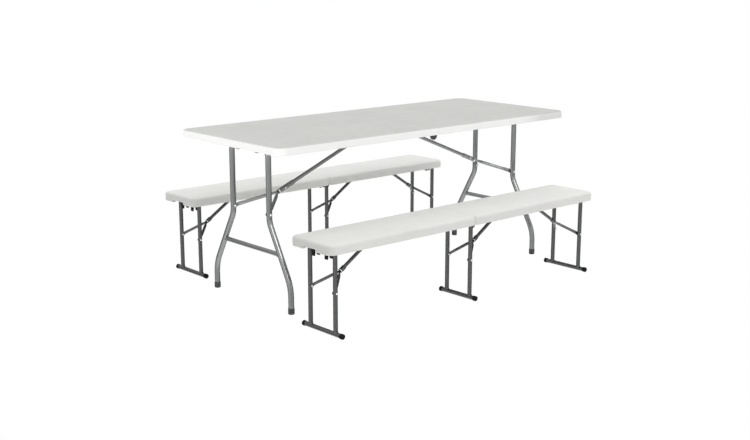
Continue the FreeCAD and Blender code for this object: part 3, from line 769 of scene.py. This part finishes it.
def make_collar(name):
    """The painted sleeve over the knee, with a bright ring at its mouth, and rivets on the table's."""
    brace, size, flat = brace_of(name), brace_sizes(name), flats()
    node = f"{name}_collar"
    low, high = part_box(node)
    outer = (high.y - low.y) / 2
    bore = size.strut / 2 + flat.collar_play
    wall = outer - bore
    span = ((high.x - low.x) - 2 * outer * abs(brace.along.z)) / abs(brace.along.x)
    first, last = -flat.collar_cover, span - flat.collar_cover
    place = brace_matrix(brace)
    sleeve, ring = bmesh.new(), bmesh.new()
    outline = [(outer + wall * out, first + wall * on) for out, on in SLEEVE_MOUTH]
    outline += [(outer + wall * out, last + wall * on) for out, on in SLEEVE_END]
    lathe(sleeve, [(bore, first), *outline, (bore, last), (bore, first)], (0, 0, 0), UP, steps=32)
    outline = [(outer + out * MM, first + size.ring * on) for out, on in RING_OUTLINE]
    lathe(ring, outline, (0, 0, 0), UP, steps=32)
    for bm in (sleeve, ring):
        bmesh.ops.transform(bm, matrix=place @ facing(ALONG), verts=bm.verts)
    slot = "bench_grey_powder_coat"
    if kind_of(name) == TABLE:
        slot = "table_grey_powder_coat"
        for side in (1, -1):
            head_at = place @ Vector((flat.sleeve_rivet, side * (outer - flat.rivet_seat), 0))
            rivet(ring, head_at, place.to_3x3() @ Vector((0, side, 0)), size.head * SLEEVE_HEAD_WIDTH,
                  flat.rivet_rise * SLEEVE_HEAD_RISE)
    finish_piece(f"{node}_sleeve", sleeve, slot, BODY_OF[node], [node], sharp=35.0)
    finish_piece(f"{node}_ring", ring, ZINC, BODY_OF[node])


def make_foot_caps(node):
    """Ribbed caps: upright ones under the table's legs, or lying ones on a bench's foot bar."""
    low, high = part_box(node)
    tube = tubes()
    x, z = (low.x + high.x) / 2, (low.z + high.z) / 2
    if kind_of(node) == BENCH:
        radius, tall, bore = (high.z - low.z) / 2, tube.bench_cap, tube.bar[BENCH] / 2 + tube.cap_play
        places = [((x, high.y, z), (0, -1, 0)), ((x, low.y, z), (0, 1, 0))]
    else:
        radius, tall, bore = (high.x - low.x) / 2, high.z - low.z, tube.leg[TABLE] / 2 + tube.cap_play
        places = [((x, y, low.z), (0, 0, 1)) for y in (high.y - radius, low.y + radius)]
    outline = [(radius * wide, tall * rise) for wide, rise in CAP_OUTLINE] + [(bore, tall), (bore, tall / 2)]
    bm = bmesh.new()
    for centre, axis in places:
        lathe(bm, outline, centre, axis, steps=32)
    finish_piece(f"{node}_ribbed", bm, SLOT_OF[node], BODY_OF[node], [node], sharp=35.0)


# Tops and fittings

# Places of the cuts at a seam, as shares of its rounding
SEAM_CUTS = (0.0, 0.08, 0.25, 0.55, 1.0)
# How far in a seam's rounding reaches, as a share of the rim, and the share of that which counts as a corner
SEAM_REACH = 0.7
SEAM_CORNER = 1 / 3
# How far a corner is lifted, as a share of the draw inwards
SEAM_LIFT = 0.8
# Distances within which a point lies on a cut or on a strap
ON_CUT = 0.02 * MM
ON_STRAP = 0.1 * MM
# Smallest angle of an edge that a bevel softens
BEVEL_ANGLE = math.radians(50)
# Places of a bracket's screws, as shares of its plate, and their height, as a share of their width
SCREW_PLACE = 0.36
SCREW_RISE = 0.3
# Rounding of a clip, as a share of its thickness
CLIP_ROUND = 0.25


def node_on(body, *words):
    """The first node of a body whose name holds one of the words."""
    return next(node for node, owner in BODY_OF.items() if owner == body and any(w in node for w in words))


def make_moulded_half(node, material=None):
    """A moulded half, refined from its solid, with the shallow waffle of ribs on its underside."""
    body, slot, top, kind = BODY_OF[node], SLOT_OF[node], tops(), kind_of(node)
    rim, channel = top.rim[kind], top.channel[kind]
    low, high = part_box(node)
    bm = merged_copy(node)
    seam_x, way = (high.x, 1) if node.endswith("left") else (low.x, -1)
    soften_seam(bm, seam_x, way, top.seam[kind], SEAM_REACH * rim)
    finish_piece(f"{node}_moulding", bm, slot, body, [node], sharp=28.0, material=material)
    middle_x, middle_y = (low.x + high.x) / 2, (low.y + high.y) / 2
    inside_x, inside_y = high.x - low.x - 2 * rim, high.y - low.y - 2 * rim
    cells_x, cells_y = (max(2, round(inside / top.rib_pitch)) for inside in (inside_x, inside_y))
    z = high.z - top.slab[kind] - top.rib_depth / 2
    run = inside_y / 2 - channel
    bm = bmesh.new()
    for cell in range(1, cells_x):
        x = low.x + rim + inside_x * cell / cells_x
        for side in (-1, 1):
            add_bar(bm, (x, middle_y + side * (channel + run / 2), z), (top.rib_width, run, top.rib_depth))
    for cell in range(1, cells_y):
        y = low.y + rim + inside_y * cell / cells_y
        if abs(y - middle_y) > channel:
            add_bar(bm, (middle_x, y, z), (inside_x, top.rib_width, top.rib_depth))
    soften(bm, top.rib_edge, segments=2)
    finish_piece(f"{node}_ribs", bm, slot, body, material=material)


def soften_seam(bm, seam_x, way, size, reach):
    """Rounds a half's outer sides in plan where it meets the other half, and lifts its lower corners."""
    front, back = (pick(vert.co.y for vert in bm.verts) for pick in (min, max))
    floor = min(vert.co.z for vert in bm.verts)
    places = [seam_x - way * size * share for share in SEAM_CUTS]
    for x in places[1:]:
        bmesh.ops.bisect_plane(bm, geom=whole(bm), dist=WELD, plane_co=(x, 0, 0), plane_no=ALONG)
    for x in places[:-1]:
        rest = size - abs(seam_x - x)
        inward = size - math.sqrt(size * size - rest * rest)
        cut = [vert for vert in bm.verts if abs(vert.co.x - x) < ON_CUT]
        near = [vert for vert in cut if vert.co.y < front + reach]
        far = [vert for vert in cut if vert.co.y > back - reach]
        lower = [vert for vert in near + far if vert.co.z < floor + reach * SEAM_CORNER]
        bmesh.ops.translate(bm, vec=ACROSS * inward, verts=near)
        bmesh.ops.translate(bm, vec=-ACROSS * inward, verts=far)
        bmesh.ops.translate(bm, vec=UP * inward * SEAM_LIFT, verts=lower)


def make_pressed(node):
    """Hinge leaves or brackets, refined from their solids with softened edges."""
    bm = merged_copy(node)
    if node.startswith("table_brackets"):
        thin_saddles(bm, pivot_of(node.replace("brackets_", "") + "_leg_fold"))
    piece = finish_piece(f"{node}_pressed", bm, SLOT_OF[node], BODY_OF[node], [node], sharp=30.0)
    bevel = piece.modifiers.new("softened", "BEVEL")
    bevel.width = tops().edge
    bevel.segments = 2
    bevel.limit_method = "ANGLE"
    bevel.angle_limit = BEVEL_ANGLE


def thin_saddles(bm, leg):
    """Draws the straps and prongs of the table's saddles in towards the tube that they hold."""
    radius = tubes().leg[TABLE] / 2
    slim = radius + tops().strap
    saddle = [vert for vert in bm.verts
              if abs(vert.co.x - leg.x) < 2 * radius and vert.co.z < leg.z - radius / 2]
    out_of = {vert: math.hypot(vert.co.x - leg.x, vert.co.z - leg.z) for vert in saddle}
    thick = max(out_of[vert] for vert in saddle if abs(vert.co.x - leg.x) < radius / 2)
    strap = [vert for vert in saddle if slim < out_of[vert] < thick + ON_STRAP]
    prongs = [vert for vert in saddle if vert.co.z < leg.z - thick - ON_STRAP]
    lift = leg.z - slim - min(vert.co.z for vert in prongs)
    bmesh.ops.translate(bm, vec=UP * lift, verts=prongs)
    bmesh.ops.scale(bm, vec=(slim / thick, 1, slim / thick), space=Matrix.Translation(-leg), verts=strap)


def make_screws(name):
    """Four domed screws that hold the plate of a strut's bracket."""
    top, kind = tops(), kind_of(name)
    out_x, out_y = top.plate_long[kind] * SCREW_PLACE, top.plate_wide[kind] * SCREW_PLACE
    strut = pivot_of(f"{name}_strut_turn")
    body = JOINTS[f"{name}_strut_turn"]["parent"]
    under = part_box(node_on(body, "_top_", "_seat_"))[1].z - top.slab[kind] - top.plate
    bm = bmesh.new()
    for x in (-1, 1):
        for y in (-1, 1):
            place = (strut.x + x * out_x, strut.y + y * out_y, under + flats().pin_seat)
            rivet(bm, place, -UP, top.screw, top.screw * SCREW_RISE)
    finish_piece(f"{name}_bracket_screws", bm, ZINC, body)


def make_clips(name):
    """The two black snap clips round the top tube of a bench's frame, each with two hanging prongs."""
    top, play, radius = tops(), flats().play, tubes().leg[BENCH] / 2
    leg = pivot_of(f"{name}_leg_fold")
    body = JOINTS[f"{name}_leg_fold"]["parent"]
    place = half_of_yoke(name) + play + radius - top.clip_inset
    deep = leg.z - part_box(node_on(body, "_brackets_"))[0].z + top.clip_drop
    bm = bmesh.new()
    for side in (-1, 1):
        for way in (-1, 1):
            middle = leg + Vector((way * (radius + top.clip / 2 + play), side * place, -deep / 2))
            add_bar(bm, middle, (top.clip, top.clip_width, deep))
    soften(bm, top.clip * CLIP_ROUND, segments=3)
    finish_piece(f"{name}_clips", bm, "black_plastic", body)


class PICNIC_OT_tops(bpy.types.Operator):
    """Make the table's two moulded halves"""
    bl_idname = "picnic.tops"
    bl_label = "Table top halves"

    def execute(self, context):
        for side in SIDES:
            # The table halves get the finish whose face is darkened as painted shade
            make_moulded_half(f"table_top_{side}", material_of("table_top_shaded_plastic"))
        return {"FINISHED"}


class PICNIC_OT_seats(bpy.types.Operator):
    """Make the benches' moulded seat halves"""
    bl_idname = "picnic.seats"
    bl_label = "Bench seat halves"

    def execute(self, context):
        for bench in BENCHES:
            for side in SIDES:
                make_moulded_half(f"{bench}_seat_{side}")
        return {"FINISHED"}


class PICNIC_OT_table_frames(bpy.types.Operator):
    """Make the table's splayed leg frames"""
    bl_idname = "picnic.table_frames"
    bl_label = "Table leg frames"

    def execute(self, context):
        for name in TABLE_FRAMES:
            make_table_frame(name)
        return {"FINISHED"}


class PICNIC_OT_bench_frames(bpy.types.Operator):
    """Make the benches' leg frames with their foot bars"""
    bl_idname = "picnic.bench_frames"
    bl_label = "Bench leg frames"

    def execute(self, context):
        for name in BENCH_FRAMES:
            make_bench_frame(name)
        return {"FINISHED"}


class PICNIC_OT_foot_caps(bpy.types.Operator):
    """Make the ribbed foot caps"""
    bl_idname = "picnic.foot_caps"
    bl_label = "Foot caps"

    def execute(self, context):
        for side in SIDES:
            make_foot_caps(f"table_foot_caps_{side}")
        for name in BENCH_FRAMES:
            bench, side = name.rsplit("_", 1)
            make_foot_caps(f"{bench}_foot_caps_{side}")
        return {"FINISHED"}


class PICNIC_OT_braces(bpy.types.Operator):
    """Make the struts, yokes and collars of the knee braces"""
    bl_idname = "picnic.braces"
    bl_label = "Knee braces"

    def execute(self, context):
        for name in TABLE_FRAMES + BENCH_FRAMES:
            make_strut(name)
            make_yoke(name)
            make_collar(name)
        return {"FINISHED"}


class PICNIC_OT_fittings(bpy.types.Operator):
    """Make the hinges, brackets, screws and clips under the tops and seats"""
    bl_idname = "picnic.fittings"
    bl_label = "Hinges and brackets"

    def execute(self, context):
        for item in ("table",) + BENCHES:
            for piece in ("hinge", "brackets"):
                for side in SIDES:
                    make_pressed(f"{item}_{piece}_{side}")
        for name in TABLE_FRAMES + BENCH_FRAMES:
            make_screws(name)
        for bench in BENCHES:
            make_clips(f"{bench}_left")
        return {"FINISHED"}


# Stage

# A band of the surround: a direction, and the cosines of the angles to it where the band starts and is full
Band = namedtuple("Band", "direction start full")
SKY_RIGHT = Band((1, 0, 0), -0.9, 0.35)
SKY_OVERHEAD = Band((0, 0, 1), 0.25, 1.0)
SHINE_FRONT = Band((-0.68, -0.73, 0), -0.75, 0.9)
SHINE_ABOVE = Band((0, 0, 1), 0.0, 0.16)
SHINE_LAMP = Band((0, 0, 1), 0.5, 0.62)
SHINE_LEFT = Band((-0.93, 0.37, 0), 0.85, 0.95)
SHINE_RIGHT = Band((0.52, -0.85, 0), 0.85, 0.95)
SHINE_GLINT = Band((-0.30, -0.74, 0.60), 0.96, 0.99)
SHINE_BELOW = Band((0, 0, -1), 0.3, 0.75)
# A strip light: its place, the way it points and its length, in metres
Strip = namedtuple("Strip", "place aim long")
FRONT_STRIP = Strip((-0.65, -1.35, 0.80), (0, 1, -0.075), 2.6)
END_STRIP = Strip((-1.85, 0, 0.80), (1, 0, -0.075), 2.4)
# Clouds of shade to the metre of floor, its shades and its roughness
FLOOR_CLOUD = 0.8
FLOOR_SHADES = (0.99, 1.01)
FLOOR_ROUGH = 0.9


class PICNIC_OT_stage(bpy.types.Operator):
    """Make the floor, the light and the camera"""
    bl_idname = "picnic.stage"
    bl_label = "Stage"

    def execute(self, context):
        settings = context.scene.picnic_stage
        make_floor(settings)
        make_surround(settings)
        add_strip("front_strip", FRONT_STRIP, settings.front_power, settings)
        add_strip("end_strip", END_STRIP, settings.end_power, settings)
        make_camera(settings)
        context.scene.view_settings.view_transform = "Standard"
        return {"FINISHED"}


def make_floor(settings):
    """A pale floor that looks white to the camera and that shiny faces see through."""
    bm = bmesh.new()
    bmesh.ops.create_grid(bm, x_segments=2, y_segments=2, size=settings.floor_size / 2,
                          matrix=Matrix.Translation(-UP * settings.floor_gap))
    floor = mesh_object("floor", bm)
    material, shader, place = new_material("floor_white")
    tree = material.node_tree
    add_tint(tree, shader, add_noise(tree, place, FLOOR_CLOUD), finishes().floor, FLOOR_SHADES)
    shader.inputs["Roughness"].default_value = FLOOR_ROUGH
    glow = tree.nodes.new("ShaderNodeEmission")
    clear = tree.nodes.new("ShaderNodeBsdfTransparent")
    lit = by_ray(tree, shader.outputs["BSDF"], clear.outputs["BSDF"], glow.outputs["Emission"])
    tree.links.new(lit, node_of(tree, "ShaderNodeOutputMaterial").inputs["Surface"])
    floor.data.materials.append(material)


def make_surround(settings):
    """A white surround that is dimmer on the left, with bands in it that only shiny faces see."""
    world = bpy.data.worlds.new("surround")
    bpy.context.scene.world = world
    world.use_nodes = True
    tree = world.node_tree
    tree.nodes.clear()
    sky = add_band(tree, SKY_RIGHT, settings.sky_bright, dark=settings.sky_dim)
    sky = add_band(tree, SKY_OVERHEAD, settings.sky_above, sky)
    shine = add_band(tree, SHINE_FRONT, settings.shine_bright, dark=settings.shine_dim)
    for band, strength in ((SHINE_ABOVE, settings.shine_above), (SHINE_LAMP, settings.shine_lamp),
                           (SHINE_LEFT, settings.streak), (SHINE_RIGHT, settings.right_streak),
                           (SHINE_GLINT, settings.glint), (SHINE_BELOW, settings.shine_below)):
        shine = add_band(tree, band, strength, shine)
    lit = by_ray(tree, add_surround(tree, sky), add_surround(tree, shine), add_surround(tree))
    output = tree.nodes.new("ShaderNodeOutputWorld")
    tree.links.new(lit, output.inputs["Surface"])


def add_band(tree, band, bright, base=None, dark=0.0):
    """A strength that grows for directions near a band's, on top of a base strength if there is one."""
    place = tree.nodes.new("ShaderNodeTexCoord")
    dot = tree.nodes.new("ShaderNodeVectorMath")
    dot.operation = "DOT_PRODUCT"
    dot.inputs[1].default_value = band.direction
    tree.links.new(place.outputs["Generated"], dot.inputs[0])
    strength = add_grade(tree, dot.outputs["Value"], band.start, band.full, dark, bright, "SMOOTHSTEP")
    if not base:
        return strength
    total = tree.nodes.new("ShaderNodeMath")
    total.operation = "ADD"
    tree.links.new(base, total.inputs[0])
    tree.links.new(strength, total.inputs[1])
    return total.outputs["Value"]


def add_surround(tree, strength=None):
    """A white background, at full strength if none is given."""
    background = tree.nodes.new("ShaderNodeBackground")
    background.inputs["Color"].default_value = (1, 1, 1, 1)
    background.inputs["Strength"].default_value = 1.0
    if strength:
        tree.links.new(strength, background.inputs["Strength"])
    return background.outputs["Background"]


def by_ray(tree, lit, shiny, seen):
    """A shader that differs for the rays of shiny faces and of the camera."""
    path = tree.nodes.new("ShaderNodeLightPath")
    for ray, other in (("Is Glossy Ray", shiny), ("Is Camera Ray", seen)):
        mix = tree.nodes.new("ShaderNodeMixShader")
        tree.links.new(path.outputs[ray], mix.inputs["Fac"])
        tree.links.new(lit, mix.inputs[1])
        tree.links.new(other, mix.inputs[2])
        lit = mix.outputs["Shader"]
    return lit


def add_strip(name, strip, power, settings):
    """A long narrow lamp that lights the table's edge and little else."""
    lamp = bpy.data.lights.new(name, "AREA")
    lamp.shape = "RECTANGLE"
    lamp.size = strip.long
    lamp.size_y = settings.strip_height
    lamp.spread = settings.strip_spread
    lamp.energy = power
    holder = add_object(name, lamp)
    holder.location = strip.place
    holder.rotation_euler = Vector(strip.aim).to_track_quat("-Z", "Y").to_euler()
    holder.visible_camera = False


def make_camera(settings):
    """The camera at the photograph's angle."""
    data = bpy.data.cameras.new("camera")
    data.sensor_width = settings.sensor
    data.lens = settings.focal_share * settings.sensor
    camera = add_object("camera", data)
    aim = Euler((math.pi / 2 + settings.camera_pitch, 0, -settings.camera_yaw)).to_matrix().to_4x4()
    roll = Matrix.Rotation(settings.camera_roll, 4, "Z")
    camera.matrix_world = Matrix.Translation(Vector(settings.camera_place)) @ aim @ roll
    bpy.context.scene.camera = camera


class PICNIC_PT_panel(bpy.types.Panel):
    """Lists the pieces of the picnic set"""
    bl_idname = "PICNIC_PT_panel"
    bl_label = "Picnic set"
    bl_space_type = "VIEW_3D"
    bl_region_type = "UI"
    bl_category = "Picnic Set"

    def draw(self, context):
        for operator in OPERATORS:
            self.layout.operator(operator.bl_idname)


GROUPS = {"picnic_tubes": TubeSizes, "picnic_flats": FlatSizes, "picnic_tops": TopSizes,
          "picnic_finishes": Finishes, "picnic_stage": StageSettings}
OPERATORS = (PICNIC_OT_tops, PICNIC_OT_seats, PICNIC_OT_table_frames, PICNIC_OT_bench_frames,
             PICNIC_OT_foot_caps, PICNIC_OT_braces, PICNIC_OT_fittings, PICNIC_OT_stage)


def register():
    for cls in (*GROUPS.values(), *OPERATORS, PICNIC_PT_panel):
        bpy.utils.register_class(cls)
    for name, group in GROUPS.items():
        setattr(bpy.types.Scene, name, PointerProperty(type=group))


def unregister():
    for name in GROUPS:
        delattr(bpy.types.Scene, name)
    for cls in (PICNIC_PT_panel, *reversed(OPERATORS), *reversed(tuple(GROUPS.values()))):
        bpy.utils.unregister_class(cls)


def main():
    register()
    for operator in OPERATORS:
        group, call = operator.bl_idname.split(".")
        getattr(getattr(bpy.ops, group), call)()


if __name__ == "__main__":
    main()
